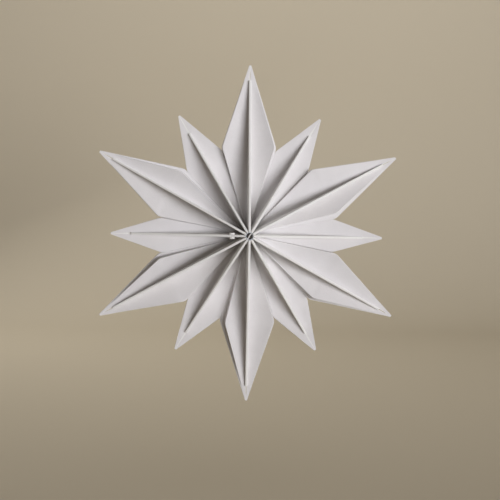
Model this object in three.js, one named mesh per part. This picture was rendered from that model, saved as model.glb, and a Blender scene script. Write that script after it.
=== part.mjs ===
// A paper snowflake star: twelve hollow points, long and short by turns, opened out like a fan.
// Millimetres, +Z up. The star stands in the XZ plane: its front faces -Y, and its twelve
// o'clock point is along +Z. The origin is the centre of the star, halfway through its depth.
//
// Each point is made of two leaves, one on each side of its middle line. A leaf is one folded
// sheet of thick paper. Seen in a section across the point, it starts at the top of the front
// fin, runs down the upright fin flange, out along the nearly flat front panel, which lifts a
// little towards the rim, through the side wall, and back along the back panel to the back fin.

import * as THREE from 'three';
import { mergeVertices } from 'three/addons/utils/BufferGeometryUtils.js';

// Overall size
const HALF_DEPTH = 50;          // centre plane to where the fin tops would meet on the axis
const INNER_RADIUS = 10;        // where the leaves begin

// Paper and fit
const PAPER = 0.5;              // one sheet
const FLANGE_PAPER = 0.9;       // the fin flange is hemmed, so it is nearly two sheets
const FIN_GAP = 0.3;            // between the two flanges of one fin
const WALL_GAP = 1.0;           // between the side walls of two neighbouring points
const CLEARANCE = 0.3;          // between small pieces and what they touch
const FIN_FOOT = 0.12;          // the share of a fin's height where it bends out into the panel

// The two kinds of point. finRadius is where the upright fin stops in a small square step,
// cornerRadius is where the silhouette turns inwards. leftRim and rightRim are half the height
// of the walls on the anticlockwise and the clockwise side, at the corner. A panel dips to the
// valley height beside its fin and lifts again to its rim.
const KINDS = {
  long: { tipRadius: 200, finRadius: 182, cornerRadius: 108, leftRim: 12, rightRim: 14.5, valley: 1.5 },
  short: { tipRadius: 162, finRadius: 138, cornerRadius: 104, leftRim: 1.2, rightRim: 2.4, valley: 1.2 },
};
const TIP_HALF_WIDTH = 1.4;     // the tips are slightly blunt
const TIP_RIM = 1.0;            // half the height of the wall at the flat tip
const RIM_GROWTH = 0.7;         // how the rim grows from the centre to the corner
const FIN_STEP = 2.4;           // height of the square step where a fin ends
const STEP_RUN = 0.4;           // length over which the step drops
const FOOT_POWER = 5;           // how sharply a fin's foot bends into its panel
const LIFT_POWER = 1.05;        // how the panel lifts to its rim: 1 is a flat sheet

// The twelve points, clockwise from the top. All angles are in degrees clockwise from +Z.
// Opened by hand, the fan is a little uneven, so each point has its own axis, and edge is the
// boundary to the next point. On the clockwise side of a long point the front half of the wall
// is a bevel: from mid-depth to the back, the boundary lies at backEdge.
const POINTS = [
  { hour: 12, kind: 'long', axis: 0.0, edge: 16.3, backEdge: 17.7 },
  { hour: 1, kind: 'short', axis: 31.4, edge: 43.3, backEdge: 43.3 },
  { hour: 2, kind: 'long', axis: 61.9, edge: 75.5, backEdge: 79.0 },
  { hour: 3, kind: 'short', axis: 90.7, edge: 101.0, backEdge: 101.0 },
  { hour: 4, kind: 'long', axis: 118.7, edge: 133.5, backEdge: 135.5 },
  { hour: 5, kind: 'short', axis: 148.6, edge: 161.8, backEdge: 161.8 },
  { hour: 6, kind: 'long', axis: 179.5, edge: 194.0, backEdge: 197.0 },
  { hour: 7, kind: 'short', axis: 211.3, edge: 222.3, backEdge: 222.3 },
  { hour: 8, kind: 'long', axis: 240.6, edge: 254.5, backEdge: 257.3 },
  { hour: 9, kind: 'short', axis: 269.7, edge: 280.7, backEdge: 280.7 },
  { hour: 10, kind: 'long', axis: 298.5, edge: 313.0, backEdge: 315.5 },
  { hour: 11, kind: 'short', axis: 329.1, edge: 342.5, backEdge: 342.5 },
];

const FLANK_STEPS = [0.15, 0.4, 0.75];            // section points between fin foot and rim
const SECTION_SHARES = [0, 0, ...FLANK_STEPS, 1]; // from fin top to rim, as shares of the width
const LAST = SECTION_SHARES.length - 1;
const EVEN_SHARES = SECTION_SHARES.map((_, n) => n / LAST);
const INNER_RADII = [INNER_RADIUS, 30, 52, 78];   // rows of the mesh short of the corner

// Small pieces at the centre
const BRIDGE = { length: 2 * (INNER_RADIUS - CLEARANCE), depth: 93, thickness: 1.3 };
const RING = { radius: 4.4, thread: 0.4 };
const MAGNET = { radius: 3.4, thickness: 2.2, atRadius: 20, belowTop: 4 };
const GLUE = { from: 30, to: 98, halfHeight: 1.2, thickness: 0.3 };

const mix = THREE.MathUtils.lerp;
const radians = THREE.MathUtils.degToRad;

function paperMaterial() {
  return new THREE.MeshStandardMaterial({ color: 0xe9e7e4, roughness: 0.9, metalness: 0 });
}

function glueMaterial() {
  return new THREE.MeshStandardMaterial({ color: 0xd9d6cc, roughness: 0.6, metalness: 0 });
}

function threadMaterial() {
  return new THREE.MeshStandardMaterial({ color: 0xd8dce0, roughness: 0.8, metalness: 0 });
}

function magnetMaterial() {
  return new THREE.MeshStandardMaterial({ color: 0xdedcd6, roughness: 0.45, metalness: 0 });
}

function addPiece(group, name, geometry, material) {
  const mesh = new THREE.Mesh(geometry, material);
  mesh.name = name;
  group.add(mesh);
  return mesh;
}

// A place given by its distance along a clock direction, its distance sideways (clockwise
// is positive) and its height towards the front.
function place(clock, along, sideways, height) {
  const angle = radians(clock);
  const x = along * Math.sin(angle) + sideways * Math.cos(angle);
  const z = along * Math.cos(angle) - sideways * Math.sin(angle);
  return new THREE.Vector3(x, -height, z);
}

// Height of the top of the fin: it falls in a straight line from the axis to the fin's end.
function finTop(kind, along) {
  const end = TIP_RIM + FIN_STEP;
  return mix(HALF_DEPTH, end, along / kind.finRadius);
}

// A height that is full up to the corner and then falls to the height of the flat tip.
function fallingHeight(kind, along, full) {
  const share = (along - kind.cornerRadius) / (kind.finRadius - kind.cornerRadius);
  return mix(full, TIP_RIM, THREE.MathUtils.clamp(share, 0, 1));
}

// The boundary after point number i lies at backEdge on the back and at mid-depth, and turns
// to edge at the height of a long point's front rim.
function boundaryClock(i, height) {
  const point = POINTS[(i + POINTS.length) % POINTS.length];
  const share = THREE.MathUtils.clamp(height / KINDS.long.rightRim, 0, 1);
  return mix(point.backEdge, point.edge, share);
}

// Half the height of the wall: it grows outwards to its full height at the corner, and then
// falls to the height of the flat tip.
function rimHeight(kind, fullRim, along) {
  const grown = Math.pow(Math.min(1, along / kind.cornerRadius), RIM_GROWTH);
  return Math.max(TIP_RIM, fallingHeight(kind, along, fullRim) * grown);
}

// Half the width of one side of a point, at a distance along its axis, at the rim that has
// this angle from the axis.
function halfWidth(kind, halfAngle, along) {
  const inset = WALL_GAP / 2 / Math.cos(halfAngle);
  const cornerAlong = kind.cornerRadius * Math.cos(halfAngle);
  if (along <= cornerAlong) {
    return along * Math.tan(halfAngle) - inset;
  }
  const share = (along - cornerAlong) / (kind.tipRadius - cornerAlong);
  return mix(kind.cornerRadius * Math.sin(halfAngle) - inset, TIP_HALF_WIDTH, share);
}

// One quarter of a section: from the top of the fin to the rim, as [sideways, height] pairs.
// Both numbers are positive; the caller turns them to their side and face.
function flankSection(kind, fullRim, halfAngle, along, rimAlong) {
  const width = halfWidth(kind, halfAngle, rimAlong);
  const rim = rimHeight(kind, fullRim, along);
  const valley = fallingHeight(kind, along, kind.valley);
  if (along > kind.finRadius) {
    return EVEN_SHARES.map((q) => [mix(FIN_GAP / 2, width, q), TIP_RIM]);
  }
  const top = finTop(kind, along);
  const base = mix(valley, top, FIN_FOOT);
  const finHalf = FIN_GAP / 2 + FLANGE_PAPER;
  const flank = [...FLANK_STEPS, 1].map((q) => {
    const foot = (base - valley) * Math.pow(1 - q, FOOT_POWER);
    return [mix(finHalf, width, q), valley + foot + (rim - valley) * Math.pow(q, LIFT_POWER)];
  });
  return [[finHalf, top], [finHalf, base], ...flank];
}

// The inner face of a bent sheet: each corner of the outer line moves inwards by the paper's
// thickness, square to the sheet on both sides of it. Where the point is narrow, the face's
// own corners stay in order, short of the inside of the wall.
function innerLine(outer) {
  const normals = outer.slice(1).map((point, i) => {
    const run = new THREE.Vector2(point[0] - outer[i][0], point[1] - outer[i][1]).normalize();
    return new THREE.Vector2(run.y, -run.x);
  });
  return outer.map((point, i) => {
    const fromFin = Math.min(i, outer.length - 1 - i);
    const before = normals[Math.max(i - 1, 0)];
    const after = normals[Math.min(i, normals.length - 1)];
    const middle = before.clone().add(after).normalize();
    const onFlange = fromFin < 2 && point[0] === outer[0][0];
    if (onFlange && outer[0][0] > FLANGE_PAPER) {
      return [FIN_GAP / 2, point[1] + (fromFin === 1 ? middle.y * PAPER : 0)];
    }
    const reach = PAPER / Math.max(middle.dot(before), 0.5);
    const wallPoint = THREE.MathUtils.clamp(i, LAST, outer.length - 1 - LAST);
    const wallInside = outer[wallPoint][0] - PAPER;
    const limit = mix(FIN_GAP / 2, wallInside, Math.min(fromFin / LAST, 1));
    return [Math.min(point[0] + middle.x * reach, limit), point[1] + middle.y * reach];
  });
}

// The rows of a leaf's mesh, from the inside out. At the corner row the front and back rims
// have their own corners, so the row is bent to pass through them.
function leafRows(kind, frontAngle, backAngle) {
  const frontCorner = kind.cornerRadius * Math.cos(frontAngle);
  const backCorner = kind.cornerRadius * Math.cos(backAngle);
  const straight = (along) => ({ along, frontRim: along, backRim: along });
  const middle = (frontCorner + kind.finRadius) / 2;
  return [
    ...INNER_RADII.map(straight),
    { along: frontCorner, frontRim: frontCorner, backRim: backCorner },
    straight(middle),
    straight(kind.finRadius),
    straight(kind.finRadius + STEP_RUN),
    straight(kind.tipRadius),
  ];
}

// One leaf. side is 1 for the clockwise leaf of a point and -1 for the other.
function leafGeometry(i, side) {
  const point = POINTS[i];
  const kind = KINDS[point.kind];
  const boundary = side > 0 ? i : i - 1;
  const turn = (clock) => {
    const away = (clock - point.axis) * side;
    return radians(THREE.MathUtils.euclideanModulo(away, 360));
  };
  const rim = side > 0 ? kind.rightRim : kind.leftRim;
  const frontAngle = turn(boundaryClock(boundary, rim));
  const wallAngle = turn(boundaryClock(boundary, 0));
  const backAngle = turn(boundaryClock(boundary, -rim));
  const rows = leafRows(kind, frontAngle, backAngle).map((row) => {
    const front = flankSection(kind, rim, frontAngle, row.along, row.frontRim);
    const back = flankSection(kind, rim, backAngle, row.along, row.backRim).reverse();
    const wallAlong = (row.frontRim + row.backRim) / 2;
    const wall = [halfWidth(kind, wallAngle, wallAlong), 0];
    const outer = [...front, wall, ...back.map(([sideways, height]) => [sideways, -height])];
    const frontAlongs = SECTION_SHARES.map((q) => mix(row.along, row.frontRim, q));
    const backAlongs = SECTION_SHARES.map((q) => mix(row.along, row.backRim, q)).reverse();
    return { alongs: [...frontAlongs, wallAlong, ...backAlongs], outer, inner: innerLine(outer) };
  });

  const across = rows[0].outer.length - 1;
  const geometry = new THREE.BoxGeometry(1, 1, 1, across, rows.length - 1, 1);
  const positions = geometry.attributes.position;
  for (let n = 0; n < positions.count; n += 1) {
    const column = Math.round((positions.getX(n) + 0.5) * across);
    const row = rows[Math.round((positions.getY(n) + 0.5) * (rows.length - 1))];
    const line = positions.getZ(n) > 0 ? row.outer : row.inner;
    const [sideways, height] = line[column];
    const spot = place(point.axis, row.alongs[column], side * sideways, height);
    positions.setXYZ(n, spot.x, spot.y, spot.z);
  }
  matchDiagonals(geometry);
  return closedGeometry(geometry, side < 0);
}

// A box splits the quads of its front and its back along opposite diagonals. The two faces of
// a bent sheet need the same ones, so that one stays parallel to the other.
function matchDiagonals(geometry) {
  const index = geometry.index;
  const { start, count } = geometry.groups[5];
  for (let n = start; n < start + count; n += 6) {
    const [a, b, d, , c] = index.array.slice(n, n + 6);
    index.array.set([a, b, c, a, c, d], n);
  }
}

// Merges the box's shared corners, and turns its faces over where the map mirrors it.
function closedGeometry(geometry, flip) {
  geometry.deleteAttribute('normal');
  geometry.deleteAttribute('uv');
  const merged = mergeVertices(geometry, 1e-4);
  const index = merged.index;
  for (let n = 0; flip && n < index.count; n += 3) {
    const second = index.getX(n + 1);
    index.setX(n + 1, index.getX(n + 2));
    index.setX(n + 2, second);
  }
  merged.computeVertexNormals();
  return merged;
}

// The glue strip between two neighbouring points follows the slant of their walls.
function glueStripGeometry(i) {
  const geometry = new THREE.BoxGeometry(1, 1, 1, 1, 4, 2);
  const positions = geometry.attributes.position;
  for (let n = 0; n < positions.count; n += 1) {
    const along = mix(GLUE.from, GLUE.to, positions.getY(n) + 0.5);
    const height = positions.getZ(n) * 2 * GLUE.halfHeight;
    const sideways = positions.getX(n) * GLUE.thickness;
    const spot = place(boundaryClock(i, height), along, sideways, height);
    positions.setXYZ(n, spot.x, spot.y, spot.z);
  }
  return closedGeometry(geometry, false);
}

// The paper strip that crosses the centre, in line with the one and seven o'clock fins.
function addBridge(group) {
  const geometry = new THREE.BoxGeometry(BRIDGE.thickness, BRIDGE.depth, BRIDGE.length);
  const mesh = addPiece(group, 'centre_bridge', geometry, paperMaterial());
  mesh.rotation.y = radians(POINTS[1].axis);
}

// A loop of thread lies on the edge of the bridge, inside the ring of fin ends.
function addRing(group, name, face) {
  const geometry = new THREE.TorusGeometry(RING.radius, RING.thread, 8, 28);
  const mesh = addPiece(group, name, geometry, threadMaterial());
  mesh.rotation.x = Math.PI / 2;
  mesh.position.y = -face * (BRIDGE.depth / 2 + CLEARANCE + RING.thread);
}

// The fan's first and last leaf meet in the nine o'clock fin, held by a disc on each side.
function addMagnet(group, name, side) {
  const point = POINTS[9];
  const geometry = new THREE.CylinderGeometry(MAGNET.radius, MAGNET.radius, MAGNET.thickness, 28);
  const mesh = addPiece(group, name, geometry, magnetMaterial());
  const reach = FIN_GAP / 2 + FLANGE_PAPER + CLEARANCE + MAGNET.thickness / 2;
  const height = finTop(KINDS[point.kind], MAGNET.atRadius) - MAGNET.belowTop;
  mesh.position.copy(place(point.axis, MAGNET.atRadius, side * reach, height));
  mesh.rotation.z = Math.PI / 2;
  mesh.rotation.order = 'YXZ';
  mesh.rotation.y = radians(point.axis);
}

const star = new THREE.Group();

POINTS.forEach((point, i) => {
  const name = `${point.kind}_point_${point.hour}`;
  addPiece(star, `${name}_left_leaf`, leafGeometry(i, -1), paperMaterial());
  addPiece(star, `${name}_right_leaf`, leafGeometry(i, 1), paperMaterial());
  const next = POINTS[(i + 1) % POINTS.length];
  addPiece(star, `glue_strip_${point.hour}_to_${next.hour}`, glueStripGeometry(i), glueMaterial());
});

addBridge(star);
addRing(star, 'binding_ring_front', 1);
addRing(star, 'binding_ring_back', -1);
addMagnet(star, 'closing_magnet_upper', 1);
addMagnet(star, 'closing_magnet_lower', -1);

export default star;
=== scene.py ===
"""A white paper snowflake star: twelve hollow points opened out like a fan.

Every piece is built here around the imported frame, in metres, +Z up, front towards -Y. Each leaf
is one folded sheet with real thickness. Its section across the point runs from the top of the
upright front fin, down the hemmed flange, out along the nearly flat front panel to the rim, down
the side wall past its narrow hem, and back along the back panel to the back fin.
"""

import math

import bpy
import numpy as np
from mathutils import Matrix, Vector, noise


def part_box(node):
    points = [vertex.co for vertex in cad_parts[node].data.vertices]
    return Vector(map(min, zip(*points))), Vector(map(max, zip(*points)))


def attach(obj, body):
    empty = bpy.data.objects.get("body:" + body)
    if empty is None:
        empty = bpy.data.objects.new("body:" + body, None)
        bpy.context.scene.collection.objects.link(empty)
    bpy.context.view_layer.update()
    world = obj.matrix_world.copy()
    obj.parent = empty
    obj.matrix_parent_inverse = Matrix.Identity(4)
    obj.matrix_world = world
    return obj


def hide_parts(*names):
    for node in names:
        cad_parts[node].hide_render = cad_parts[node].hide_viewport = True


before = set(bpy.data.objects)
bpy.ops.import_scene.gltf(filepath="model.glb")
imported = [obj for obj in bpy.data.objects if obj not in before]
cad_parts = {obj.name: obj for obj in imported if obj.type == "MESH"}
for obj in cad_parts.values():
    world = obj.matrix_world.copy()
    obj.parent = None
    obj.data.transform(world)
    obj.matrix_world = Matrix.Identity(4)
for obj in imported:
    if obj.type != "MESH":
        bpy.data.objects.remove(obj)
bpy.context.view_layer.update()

MM = 0.001

# The star, in millimetres: its depth, its points and its rims are those of the CAD leaves
HALF_DEPTH = 50.0
INNER_RADIUS = 4.8  # where the fins of all twelve points meet side by side

# Distances from the axis to the tip, to the end of the fin and to the corner where the rims of
# two neighbours part. Then rim heights on the left and the right, the height of the valley beside
# the fin, and how quickly the foot of the fin dies out across the panel.
KINDS = {
    "long": dict(tip=200.0, fin=182.0, corner=108.0, rims=(12.0, 14.5), valley=1.5, foot_power=5.2),
    "short": dict(tip=162.0, fin=138.0, corner=104.0, rims=(1.2, 2.4), valley=1.2, foot_power=4.8),
}
TIP_HALF_WIDTH = 1.2
TIP_RIM = 0.9
TIP_GAPE = 0.3  # how far the slit past a long fin opens on either side
GAPE_SHARE = 0.62  # the share of the tip that the open slit runs along
GAPE_SLOPE = 8  # it opens and closes in an eighth of its length
RIM_GROWTH = 0.7  # how the rim grows from the centre to the corner
RIM_FOLD = 0.9  # how round the fold along the rim is
FOLD_TURNS = (0, 30, 60, 90)  # the points round that fold, in degrees
CORNER_SOFTNESS = 0.9  # how much the silhouette's corners are rounded
PAPER = 0.45
LEAST_MITRE = 0.55  # keeps the inner face from shooting out at the sheet's sharpest folds
COCKLE = 0.45  # how far the panels bulge
BROAD_WAVE = 38.0  # the lengths of the bulges' waves
FINE_WAVE = 13.0
FINE_SHARE = 0.4  # how high the fine waves are, as a share of the broad ones
CALM_RUN = 40.0  # the bulges grow from nothing at the axis to their full height here

FIN_STEP = 2.5
FIN_FOOT = 0.06  # the share of a fin's height that its rounded foot takes up
FIN_HALF = 1.25  # half the thickness of a fin: two hemmed flanges
FIN_SHARE = 0.82  # the most of a point's width that the fin takes, close to the centre
FIN_GAP = 0.02  # half the hairline gap between the two flanges
FIN_ROUND = 0.3  # how far down the rounded top of a flange reaches
FIN_TOP = [(0.7, 0.0), (0.93, 0.35), (1.0, 1.0)]  # its shape, in shares of FIN_HALF and FIN_ROUND
HIGHLIGHT_HEM_COLUMNS = 3  # the faces next to the top of a flange that take the lighter edge material, a painted highlight along the fin tops
LIFT_POWER = 1.05  # how a panel lifts from its fin to its rim: 1 is a flat sheet

# The points of a section between the fin and the rim, closest beside the fin, where it bends
PANEL_SHARES = [0.012, 0.03, 0.06, 0.09, 0.13, 0.17, 0.22, 0.27, 0.32, 0.38, 0.44]
PANEL_SHARES += [0.5, 0.56, 0.62, 0.68, 0.74, 0.8, 0.86, 0.91, 0.96]

# Down a side wall, as (share of its slant, share of the hem's height): where the front rim
# stands in from the back one, a narrow flat hem runs between them.
WALL_STEPS = [(0.04, 1.5), (0.14, 1.05), (0.9, 1.0), (1.0, 0.7), (1.0, 0.0)]
HEM_HEIGHT = 1.5  # above mid-depth
WALL_INSET = 0.08  # from a boundary to the wall of the point on either side of it
INSET_RUN = 20.0  # the inset grows from nothing at the axis to its full size here

FIN_POINTS = len(FIN_TOP) + 1
QUARTER = FIN_POINTS + len(PANEL_SHARES) + len(FOLD_TURNS)
COLUMNS = 2 * QUARTER + len(WALL_STEPS)

# Clockwise from the top: hour, kind, axis, front edge to the next point, and the same edge at
# mid-depth and on the back, all in degrees clockwise from +Z. A fan opened by hand is a little uneven.
POINTS = [
    (12, "long", 0.0, 16.3, 17.7),
    (1, "short", 31.4, 43.3, 43.3),
    (2, "long", 61.9, 75.5, 79.0),
    (3, "short", 90.7, 101.0, 101.0),
    (4, "long", 118.7, 133.5, 135.5),
    (5, "short", 148.6, 161.8, 161.8),
    (6, "long", 179.5, 194.0, 197.0),
    (7, "short", 211.3, 222.3, 222.3),
    (8, "long", 240.6, 254.5, 257.3),
    (9, "short", 269.7, 280.7, 280.7),
    (10, "long", 298.5, 313.0, 315.5),
    (11, "short", 329.1, 342.5, 342.5),
]


def mix(a, b, share):
    return a + (b - a) * share


def place(clock, along, sideways, height):
    """The point at these distances along a clock direction, clockwise of it and to the front."""
    angle = math.radians(clock)
    x = along * math.sin(angle) + sideways * math.cos(angle)
    z = along * math.cos(angle) - sideways * math.sin(angle)
    return Vector((x, -height, z)) * MM


def ripple(point, size, seed):
    """Smooth noise from -1 to 1, with waves about size millimetres long."""
    return noise.noise(point / (size * MM) + Vector((seed * 7.3, seed * 1.7, seed * 3.1)))


# ---------------------------------------------------------------- materials


def new_material(name, colour, roughness):
    material = bpy.data.materials.new(name)
    material.use_nodes = True
    shader = material.node_tree.nodes["Principled BSDF"]
    shader.inputs["Base Color"].default_value = (*colour, 1)
    shader.inputs["Roughness"].default_value = roughness
    return material, material.node_tree, shader


def noise_node(tree, scale, detail, coordinates, stretch=(1, 1, 1)):
    mapping = tree.nodes.new("ShaderNodeMapping")
    mapping.inputs["Scale"].default_value = stretch
    tree.links.new(coordinates, mapping.inputs["Vector"])
    texture = tree.nodes.new("ShaderNodeTexNoise")
    texture.inputs["Scale"].default_value = scale
    texture.inputs["Detail"].default_value = detail
    tree.links.new(mapping.outputs["Vector"], texture.inputs["Vector"])
    return texture.outputs["Fac"]


def colour_ramp(tree, factor, stops):
    ramp = tree.nodes.new("ShaderNodeValToRGB")
    elements = ramp.color_ramp.elements
    while len(elements) < len(stops):
        elements.new(0.5)
    for element, (position, colour) in zip(elements, stops):
        element.position = position
        element.color = (*colour, 1)
    tree.links.new(factor, ramp.inputs["Fac"])
    return ramp.outputs["Color"]


def mixed(tree, kind, factor, a, b):
    node = tree.nodes.new("ShaderNodeMixRGB")
    node.blend_type = kind
    node.inputs["Fac"].default_value = factor
    tree.links.new(a, node.inputs["Color1"])
    tree.links.new(b, node.inputs["Color2"])
    return node.outputs["Color"]


def bump(tree, shader, height, strength, distance, under=None):
    node = tree.nodes.new("ShaderNodeBump")
    node.inputs["Strength"].default_value = strength
    node.inputs["Distance"].default_value = distance
    tree.links.new(height, node.inputs["Height"])
    if under is not None:
        tree.links.new(under, node.inputs["Normal"])
    tree.links.new(node.outputs["Normal"], shader.inputs["Normal"])
    return node.outputs["Normal"]


def paper_material(name, light, shade, fibre):
    """Uncoated paper: faint cloudy mottling, fine felted fibres and a very slight cockle."""
    material, tree, shader = new_material(name, light, 0.9)
    where = tree.nodes.new("ShaderNodeTexCoord").outputs["Object"]
    cloud = noise_node(tree, 45, 3, where)
    felt = noise_node(tree, 1500, 4, where, (1, 0.45, 0.8))
    cockle = noise_node(tree, 130, 2, where)
    clouds = colour_ramp(tree, cloud, [(0.35, shade), (0.65, light)])
    felted = colour_ramp(tree, felt, [(0.3, (0.94, 0.935, 0.925)), (0.62, (1, 1, 1))])
    colour = mixed(tree, "MULTIPLY", 0.55, clouds, felted)
    tree.links.new(colour, shader.inputs["Base Color"])
    rough = colour_ramp(tree, felt, [(0.2, (0.82,) * 3), (0.8, (0.96,) * 3)])
    tree.links.new(rough, shader.inputs["Roughness"])
    waves = bump(tree, shader, cockle, 0.18, 0.0012)
    bump(tree, shader, felt, fibre, 0.00012, waves)
    return material


def painted_highlight_edge_material():
    """The hemmed or raw edge of the sheet, a touch warmer and rougher than its faces, and lighter as a
    painted highlight where fin tops and rims catch the light.
    """
    return paper_material("paper_cut_edge_painted_highlight", (0.86, 0.85, 0.83), (0.83, 0.82, 0.8), 0.8)


def glue_material():
    """Dried white glue: slightly yellowish, with shrink marks."""
    material, tree, shader = new_material("dried_glue", (0.72, 0.7, 0.63), 0.5)
    where = tree.nodes.new("ShaderNodeTexCoord").outputs["Object"]
    marks = noise_node(tree, 700, 3, where)
    shades = [(0.3, (0.64, 0.62, 0.55)), (0.7, (0.76, 0.745, 0.69))]
    tree.links.new(colour_ramp(tree, marks, shades), shader.inputs["Base Color"])
    bump(tree, shader, marks, 0.5, 0.0002)
    return material


def thread_material():
    """Pale blue-grey cotton thread, twisted from fine fibres."""
    material, tree, shader = new_material("cotton_thread", (0.82, 0.86, 0.91), 0.85)
    where = tree.nodes.new("ShaderNodeTexCoord").outputs["Object"]
    fibres = noise_node(tree, 2600, 4, where, (1, 3, 1))
    shades = [(0.3, (0.72, 0.77, 0.83)), (0.7, (0.88, 0.91, 0.95))]
    tree.links.new(colour_ramp(tree, fibres, shades), shader.inputs["Base Color"])
    bump(tree, shader, fibres, 0.7, 0.0001)
    return material


def magnet_material():
    """A satin white coating, with faint handling marks."""
    material, tree, shader = new_material("white_coating", (0.8, 0.79, 0.76), 0.42)
    where = tree.nodes.new("ShaderNodeTexCoord").outputs["Object"]
    marks = noise_node(tree, 400, 5, where)
    shades = [(0.35, (0.74, 0.73, 0.7)), (0.6, (0.82, 0.81, 0.785))]
    tree.links.new(colour_ramp(tree, marks, shades), shader.inputs["Base Color"])
    rough = colour_ramp(tree, marks, [(0.3, (0.5,) * 3), (0.7, (0.36,) * 3)])
    tree.links.new(rough, shader.inputs["Roughness"])
    bump(tree, shader, marks, 0.15, 0.0001)
    return material


def stage_material(name, colour):
    """Matt wall paint."""
    material, _, shader = new_material(name, colour, 0.95)
    shader.inputs["Specular IOR Level"].default_value = 0.1
    return material


# ---------------------------------------------------------------- leaves


def fin_top(kind, along):
    """The height of a fin's top, which falls in a straight line to the step at its end."""
    return mix(HALF_DEPTH, TIP_RIM + FIN_STEP, along / kind["fin"])


def falling(kind, along, full, end):
    """full up to the corner, then falling in a straight line to end where the fin stops."""
    share = (along - kind["corner"]) / (kind["fin"] - kind["corner"])
    return mix(full, end, min(max(share, 0.0), 1.0))


def rim_height(kind, side):
    """The height of a point's rim at its corner: side is 1 for clockwise of the axis, else -1."""
    return kind["rims"][side > 0]


def boundary_clock(i, height):
    """The clock angle of the boundary after point i, at this height of the side wall."""
    edge, back_edge = POINTS[i % len(POINTS)][3:]
    share = height / rim_height(KINDS["long"], 1)
    return mix(back_edge, edge, min(max(share, 0.0), 1.0))


def half_width(kind, half_angle, along):
    """From the middle line to the rim: a straight boundary, a soft corner, a straight edge."""
    tangent = math.tan(half_angle)
    corner_along = kind["corner"] * math.cos(half_angle)
    inset = WALL_INSET / math.cos(half_angle) * min(1.0, along / INSET_RUN)
    boundary = along * tangent - inset
    share = (along - corner_along) / (kind["tip"] - corner_along)
    edge = mix(corner_along * tangent - inset, TIP_HALF_WIDTH, share)
    half_step = (boundary - edge) / 2
    corner = math.sqrt(half_step * half_step + CORNER_SOFTNESS**2)
    return (boundary + edge) / 2 - corner + (CORNER_SOFTNESS**2) / (2 * corner + 1e-9)


def quarter_section(kind, full_rim, half_angle, along, rim_along, slit):
    """From the top of the fin to the rim, as (sideways, height, share of the panel)."""
    width = half_width(kind, half_angle, rim_along)
    if along > kind["fin"]:
        shares = [n / (QUARTER - 1) for n in range(QUARTER)]
        return [(mix(slit, width, q), TIP_RIM, q) for q in shares]
    rim = falling(kind, along, full_rim, TIP_RIM) * min(1.0, along / kind["corner"]) ** RIM_GROWTH
    valley = falling(kind, along, kind["valley"], TIP_RIM)
    top = fin_top(kind, along)
    base = mix(valley, top, FIN_FOOT)
    fin_half = min(FIN_HALF, FIN_SHARE * width)
    section = [(fin_half * out, top - FIN_ROUND * down, 0) for out, down in FIN_TOP]
    section.append((fin_half, base, 0))
    for q in PANEL_SHARES:
        foot = (base - valley) * (1 - q) ** kind["foot_power"]
        height = valley + foot + (rim - valley) * q**LIFT_POWER
        section.append((mix(fin_half, width - RIM_FOLD, q), height, q))
    fold = min(RIM_FOLD, 0.4 * rim, 0.3 * width)  # less where the rim is low or the point narrow
    for turn in FOLD_TURNS:
        bend = math.radians(turn)
        section.append((width - fold * (1 - math.sin(bend)), rim - fold * (1 - math.cos(bend)), 1))
    return section


def wall_section(front, outer_width):
    """From the front rim's fold to mid-depth, as (sideways, height, share of the panel)."""
    inner_width, start, _ = front
    hem = min(HEM_HEIGHT, 0.6 * start)  # less where the rim is low
    return [(mix(inner_width, outer_width, out), hem * high, 1) for out, high in WALL_STEPS]


def inner_line(outer, narrow):
    """The sheet's inner face: the outer line moved inwards, square to it, by the thickness.

    Where there is a fin, narrow is 0. Past it, narrow is half the gap of the tip's slit.
    """
    line = np.array([(s, h) for s, h, _ in outer])
    runs = np.diff(line, axis=0)
    runs /= np.maximum(np.linalg.norm(runs, axis=1, keepdims=True), 1e-9)
    normals = np.stack([runs[:, 1], -runs[:, 0]], axis=1)
    before = np.vstack([normals[:1], normals])
    after = np.vstack([normals, normals[-1:]])
    middle = before + after
    middle /= np.maximum(np.linalg.norm(middle, axis=1, keepdims=True), 1e-9)
    reach = PAPER / np.maximum((middle * before).sum(axis=1), LEAST_MITRE)
    inner = line + middle * reach[:, None]
    count = len(outer)
    for n in range(count):
        from_fin = min(n, count - 1 - n)
        wall_inside = line[min(max(n, QUARTER - 1), count - QUARTER), 0] - PAPER
        if from_fin < FIN_POINTS and not narrow:
            inner[n] = (FIN_GAP, line[n, 1])
        share = min(max(from_fin / (QUARTER - 1), outer[n][2]), 1)
        limit = mix(narrow or FIN_GAP, wall_inside, share)
        inner[n, 0] = min(inner[n, 0], limit)
    return inner


def leaf_rows(kind, front_corner):
    """Distances along the fin of a leaf's rows, close together where the shape turns."""
    inner = [INNER_RADIUS, 6.5, 8.5, 11, 14, 18, 23, 29, 36, 43, 51, 59, 67, 75, 82, 88, 93]
    inner = [a for a in inner if a < front_corner - 9]
    corner = [front_corner + step for step in (-8, -5, -2.5, 0, 2.5, 5, 8)]
    outer = list(np.linspace(front_corner + 13, kind["fin"] - 1.5, 12))
    end = [kind["fin"] - 0.6, kind["fin"] - 0.2, kind["fin"], kind["fin"] + 0.12]
    tip = list(np.linspace(kind["fin"] + 1.5, kind["tip"] - 1.0, 8))
    return inner + corner + outer + end + tip + [kind["tip"] - 0.4, kind["tip"]]


def slit_at(kind_name, along):
    """Half the gap between the two halves of a tip: long tips gape a little past the fin."""
    kind = KINDS[kind_name]
    end = mix(kind["fin"], kind["tip"], GAPE_SHARE)
    if kind_name == "short" or along >= end:
        return FIN_GAP
    share = (along - kind["fin"]) / (end - kind["fin"])
    return FIN_GAP + TIP_GAPE * min(1.0, GAPE_SLOPE * max(share, 0), GAPE_SLOPE * (1 - share))


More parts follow.
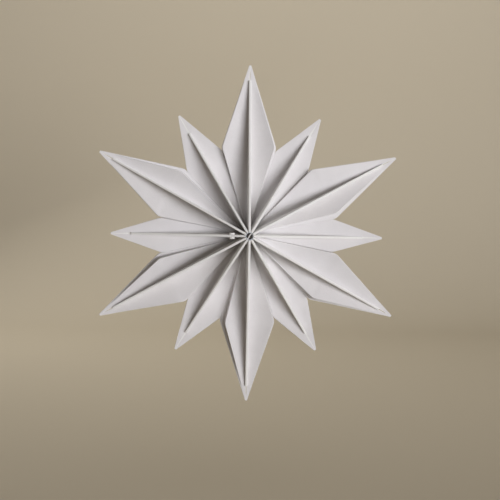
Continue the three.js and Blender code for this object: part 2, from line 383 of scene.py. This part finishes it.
def rim_reach(kind, front_angle, angle, along):
    """How far along the axis the rim at this angle is met by the row that leaves the fin at along."""
    front_corner = kind["corner"] * math.cos(front_angle)
    corner = kind["corner"] * math.cos(angle)
    if along <= front_corner:
        return along * corner / front_corner
    share = (along - front_corner) / (kind["tip"] - front_corner)
    return mix(corner, kind["tip"], share)


def bulge(spot, i, side, along, q):
    """How far a panel bulges here: broad waves with finer ones on them, and none at its edges."""
    broad = ripple(spot, BROAD_WAVE, i + side * 0.4)
    fine = ripple(spot, FINE_WAVE, i + side * 0.7)
    return (broad + FINE_SHARE * fine) * COCKLE * math.sin(math.pi * q) * min(1.0, along / CALM_RUN)


def grid_faces(rows, columns, hem=0):
    """Quads of a closed sheet: outer and inner face, ends, long edges and the hems beside them."""
    count = rows * columns
    faces, edge_faces = [], []
    for r in range(rows - 1):
        for c in range(columns - 1):
            # faces within hem columns of a long edge join the edge faces in the lighter material: a
            # painted highlight
            group = edge_faces if min(c, columns - 2 - c) < hem else faces
            a = r * columns + c
            group.append((a, a + 1, a + columns + 1, a + columns))
            b = a + count
            group.append((b, b + columns, b + columns + 1, b + 1))
    for r in range(rows - 1):
        a = r * columns
        edge_faces.append((a, a + columns, a + columns + count, a + count))
        b = a + columns - 1
        edge_faces.append((b, b + count, b + columns + count, b + columns))
    for c in range(columns - 1):
        a = c
        edge_faces.append((a, a + count, a + 1 + count, a + 1))
        b = (rows - 1) * columns + c
        edge_faces.append((b, b + 1, b + 1 + count, b + count))
    return faces, edge_faces


def mesh_piece(name, vertices, faces, edge_faces, materials, node):
    """A smooth piece that rides on the star and replaces a node: edge_faces take materials[1]."""
    mesh = bpy.data.meshes.new(name)
    mesh.from_pydata(vertices, [], faces + edge_faces)
    for material in materials:
        mesh.materials.append(material)
    flags = [0] * len(faces) + [1] * len(edge_faces)
    mesh.polygons.foreach_set("material_index", flags)
    mesh.polygons.foreach_set("use_smooth", [True] * len(mesh.polygons))
    mesh.update()
    mesh.set_sharp_from_angle(angle=math.radians(38))
    piece = bpy.data.objects.new(name, mesh)
    bpy.context.scene.collection.objects.link(piece)
    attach(piece, "root")
    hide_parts(node)


def make_leaf(i, side, materials):
    """Half of point i as one folded sheet: side is 1 for clockwise of its axis, else -1."""
    hour, kind_name, axis, _, _ = POINTS[i]
    kind = KINDS[kind_name]
    boundary = i if side > 0 else i - 1
    rim = rim_height(kind, side)

    def half_angle(height):
        return math.radians((boundary_clock(boundary, height) - axis) * side % 360)

    front, middle, back = half_angle(rim), half_angle(0), half_angle(-rim)
    rows = leaf_rows(kind, kind["corner"] * math.cos(front))
    outer_points, inner_points = [], []
    for along in rows:
        front_reach = rim_reach(kind, front, front, along)
        middle_reach = rim_reach(kind, front, middle, along)
        back_reach = rim_reach(kind, front, back, along)
        slit = slit_at(kind_name, along)
        front_half = quarter_section(kind, rim, front, along, front_reach, slit)
        back_half = quarter_section(kind, rim, back, along, back_reach, slit)
        wall = wall_section(front_half[-1], half_width(kind, middle, middle_reach))
        outer = front_half + wall + [(s, -h, q) for s, h, q in reversed(back_half)]
        inner = inner_line(outer, slit if along > kind["fin"] else 0)
        wall_reaches = [mix(front_reach, middle_reach, out) for out, _ in WALL_STEPS]
        rim_ends = [front_reach] * QUARTER + wall_reaches + [back_reach] * QUARTER
        for (s, h, q), (inner_s, inner_h), rim_end in zip(outer, inner, rim_ends):
            reach = mix(along, rim_end, q)
            swell = bulge(place(axis, reach, side * s, h), i, side, along, q)
            lift = math.copysign(swell, h) if h else 0
            outer_points.append(place(axis, reach, side * s, h + lift))
            inner_points.append(place(axis, reach, side * inner_s, inner_h + lift))

    # the fin tops' hem faces get the lighter edge material, a painted highlight
    faces, edge_faces = grid_faces(len(rows), COLUMNS, HIGHLIGHT_HEM_COLUMNS)
    if side > 0:
        faces = [face[::-1] for face in faces]
        edge_faces = [face[::-1] for face in edge_faces]
    name = f"{kind_name}_point_{hour}_{'right' if side > 0 else 'left'}_leaf"
    vertices = outer_points + inner_points
    mesh_piece(name + "_paper", vertices, faces, edge_faces, materials, name)


# ---------------------------------------------------------------- small pieces


def make_glue_strip(i, material):
    """A flattened bead of glue between two side walls, a little wavy along its edges."""
    hour, following = POINTS[i][0], POINTS[(i + 1) % len(POINTS)][0]
    name = f"glue_strip_{hour}_to_{following}"
    half_section = [(0, 1.1), (0.12, 0.8), (0.15, 0), (0.12, -0.8)]
    section = half_section + [(-sideways, -height) for sideways, height in half_section]
    start, end, rows = 31, 96, 40
    vertices = []
    for along in np.linspace(start, end, rows):
        swell = 0.82 + 0.18 * noise.noise(Vector((along / 6, i * 3.7, 0)))
        for sideways, height in section:
            clock = boundary_clock(i, height * swell)
            vertices.append(place(clock, along, sideways * swell, height * swell))
    count = len(section)
    faces = []
    for r in range(rows - 1):
        for c in range(count):
            a, b = r * count + c, r * count + (c + 1) % count
            faces.append((a, b, b + count, a + count))
    ends = [tuple(reversed(range(count))), tuple(range((rows - 1) * count, rows * count))]
    mesh_piece(name + "_bead", vertices, faces + ends, [], [material], name)


def make_bridge(materials):
    """The strip of paper that crosses the centre, bowed slightly and with softened edges."""
    low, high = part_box("centre_bridge")
    half_depth = (high.y - low.y) / 2 / MM
    half_length = INNER_RADIUS + 0.4
    half_thickness, edge_share, soft_edge = 0.62, 0.6, 0.4
    bow_size, bow_length = 0.15, 17
    clock = POINTS[1][2]  # in line with the one o'clock fin
    columns = np.linspace(-half_length, half_length, 13)
    heights = np.linspace(-half_depth, half_depth, 25)
    vertices = []
    for sign in (1, -1):
        for height in heights:
            from_edge = min((half_depth - abs(height)) / soft_edge, 1)
            out = sign * half_thickness * mix(edge_share, 1, from_edge)
            for column in columns:
                bow = bow_size * math.sin(height / bow_length) * math.cos(column / half_length * 1.5)
                vertices.append(place(clock, column, out + bow, height))
    faces, edge_faces = grid_faces(len(heights), len(columns))
    name = "centre_bridge"
    mesh_piece(name + "_strip", vertices, faces, edge_faces, materials, name)


def make_ring(node, material):
    """Two plies of thread wound round each other and round the centre."""
    low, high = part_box(node)
    to_front = Vector((0, (low.y + high.y) / 2 / MM, 0))
    across = Vector((0, 1, 0))
    ring_radius, ply_radius, ply_offset = 4.25, 0.22, 0.19
    turns, steps, sides = 26, 312, 8

    def spoke(out, turn, radius):
        return (out * math.cos(turn) + across * math.sin(turn)) * radius

    vertices, faces = [], []
    for ply in range(2):
        start = len(vertices)
        for step in range(steps):
            around = 2 * math.pi * step / steps
            out = Vector((math.sin(around), 0, math.cos(around)))
            twist = around * turns + math.pi * ply
            centre = to_front + out * ring_radius + spoke(out, twist, ply_offset)
            for side in range(sides):
                turn = 2 * math.pi * side / sides
                vertices.append((centre + spoke(out, turn, ply_radius)) * MM)
        for step in range(steps):
            for side in range(sides):
                here = start + step * sides
                there = start + (step + 1) % steps * sides
                beside = (side + 1) % sides
                faces.append((here + side, here + beside, there + beside, there + side))
    mesh_piece(node + "_thread", vertices, faces, [], [material], node)


def make_magnet(node, material):
    """A coated disc with a rounded rim and a shallow dished face."""
    low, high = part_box(node)
    centre = (low + high) / 2
    radius = (high.y - low.y) / 2 / MM
    half = (high.z - low.z) / 2 / MM
    dish, rounding, sides = 0.12, 0.5, 40
    profile = [(radius * 0.55, half - dish), (radius * 0.68, half), (radius - rounding, half)]
    profile += [(radius - rounding * 0.3, half - rounding * 0.3), (radius, half - rounding)]
    profile += [(r, -h) for r, h in reversed(profile)]
    vertices, faces = [], []
    for r, h in profile:
        for n in range(sides):
            angle = 2 * math.pi * n / sides
            spot = Vector((r * math.cos(angle), r * math.sin(angle), h)) * MM
            vertices.append(spot + centre)
    for ring in range(len(profile) - 1):
        for n in range(sides):
            a, b = ring * sides + n, ring * sides + (n + 1) % sides
            faces.append((a, a + sides, b + sides, b))
    top, bottom = len(vertices), len(vertices) + 1
    to_face = Vector((0, 0, half - dish)) * MM
    vertices += [centre + to_face, centre - to_face]
    last = (len(profile) - 1) * sides
    for n in range(sides):
        faces.append((top, n, (n + 1) % sides))
        faces.append((bottom, last + (n + 1) % sides, last + n))
    mesh_piece(node + "_disc", vertices, faces, [], [material], node)


# ---------------------------------------------------------------- stage, light and camera


def make_stage():
    """A pale floor that sweeps up into a plain backdrop well behind the star, in metres."""
    floor_z, top_z = -0.34, 3.0
    near_y, wall_y = -3.0, 2.4
    half_width, bend, bend_steps = 4, 0.8, 16
    profile = [(near_y, floor_z)]
    for n in range(bend_steps + 1):
        angle = math.pi / 2 * n / bend_steps
        profile.append((wall_y - bend + bend * math.sin(angle), floor_z + bend - bend * math.cos(angle)))
    profile.append((wall_y, top_z))
    vertices = [(x, y, z) for y, z in profile for x in (-half_width, half_width)]
    faces = [(2 * n, 2 * n + 1, 2 * n + 3, 2 * n + 2) for n in range(len(profile) - 1)]
    mesh = bpy.data.meshes.new("backdrop")
    mesh.from_pydata(vertices, [], faces)
    mesh.polygons.foreach_set("use_smooth", [True] * len(faces))
    mesh.materials.append(stage_material("backdrop_paint", (0.56, 0.5, 0.39)))
    backdrop = bpy.data.objects.new("backdrop", mesh)
    bpy.context.scene.collection.objects.link(backdrop)


def area_light(name, direction, distance, size, power, colour, target=(0, 0, 0)):
    """A soft oval lamp in this direction from the star, facing it or another target."""
    data = bpy.data.lights.new(name, "AREA")
    data.shape = "ELLIPSE"
    data.size, data.size_y = size
    data.energy = power
    data.color = colour
    lamp = bpy.data.objects.new(name, data)
    lamp.location = Vector(direction).normalized() * distance
    lamp.rotation_mode = "QUATERNION"
    lamp.rotation_quaternion = (lamp.location - Vector(target)).to_track_quat("Z", "Y")
    bpy.context.scene.collection.objects.link(lamp)


KEY_FORWARD = 59  # degrees from the star's plane towards the front
KEY_RISE = -7  # degrees, with the key light a little below the centre


def make_lights():
    """A cool window on the right, a weak skylight, and a dim warm room with its bounced light."""
    forward, rise = math.radians(KEY_FORWARD), math.radians(KEY_RISE)
    outward = math.cos(forward)
    key = (outward * math.cos(rise), -math.sin(forward), outward * math.sin(rise))
    warm = (1.0, 0.98, 0.95)
    wall = (0.1, 2.2, -0.3)
    area_light("key", key, 5.0, (4.0, 1.6), 338, (0.96, 0.965, 1.0))
    area_light("skylight", (0.1, -0.7, 1.0), 4.0, (3.0, 3.0), 9, (1.0, 0.98, 1.0))
    area_light("back_fill", (-0.5, 0.9, 0.5), 2.0, (1.4, 1.4), 9, warm)
    area_light("wall_wash", (0.1, 0.45, 1.0), 2.0, (1.6, 1.6), 14, warm, wall)
    world = bpy.data.worlds.new("room")
    world.use_nodes = True
    background = world.node_tree.nodes["Background"]
    background.inputs["Color"].default_value = (0.5, 0.42, 0.34, 1)
    background.inputs["Strength"].default_value = 0.16
    bpy.context.scene.world = world


CAMERA_DISTANCE = 1.2  # metres
CAMERA_TURN = -3.2  # degrees round the star from straight on, where minus is to the left
CAMERA_RISE = 2.4  # degrees above it
CAMERA_ROLL = 1.0  # degrees
LENS = 72.35  # millimetres
AIM = (0.0035, -0.0185)  # across and up from the star's centre, in metres


def make_camera():
    """A camera a little to the left of the star and above it, looking at the middle of the view."""
    data = bpy.data.cameras.new("camera")
    data.lens = LENS
    data.sensor_width = 36
    camera = bpy.data.objects.new("camera", data)
    turn, rise = math.radians(CAMERA_TURN), math.radians(CAMERA_RISE)
    back = Vector((math.sin(turn) * math.cos(rise), -math.cos(turn) * math.cos(rise), math.sin(rise)))
    camera.location = back * CAMERA_DISTANCE
    aim = Vector((AIM[0], 0, AIM[1]))
    look = (camera.location - aim).to_track_quat("Z", "Y")
    camera.rotation_mode = "QUATERNION"
    camera.rotation_quaternion = look @ Matrix.Rotation(math.radians(CAMERA_ROLL), 3, "Z").to_quaternion()
    bpy.context.scene.collection.objects.link(camera)
    bpy.context.scene.camera = camera


# ---------------------------------------------------------------- the scene

# the second paper material is lighter: a painted highlight on the cut edges and fin tops
paper = [paper_material("snow_paper", (0.74, 0.72, 0.725), (0.715, 0.695, 0.7), 0.5), painted_highlight_edge_material()]
glue, thread, magnet = glue_material(), thread_material(), magnet_material()

for i in range(len(POINTS)):
    make_leaf(i, -1, paper)
    make_leaf(i, 1, paper)
    make_glue_strip(i, glue)
make_bridge(paper)
for face in ("front", "back"):
    make_ring("binding_ring_" + face, thread)
for where in ("upper", "lower"):
    make_magnet("closing_magnet_" + where, magnet)

make_stage()
make_lights()
make_camera()
bpy.context.scene.view_settings.view_transform = "Standard"
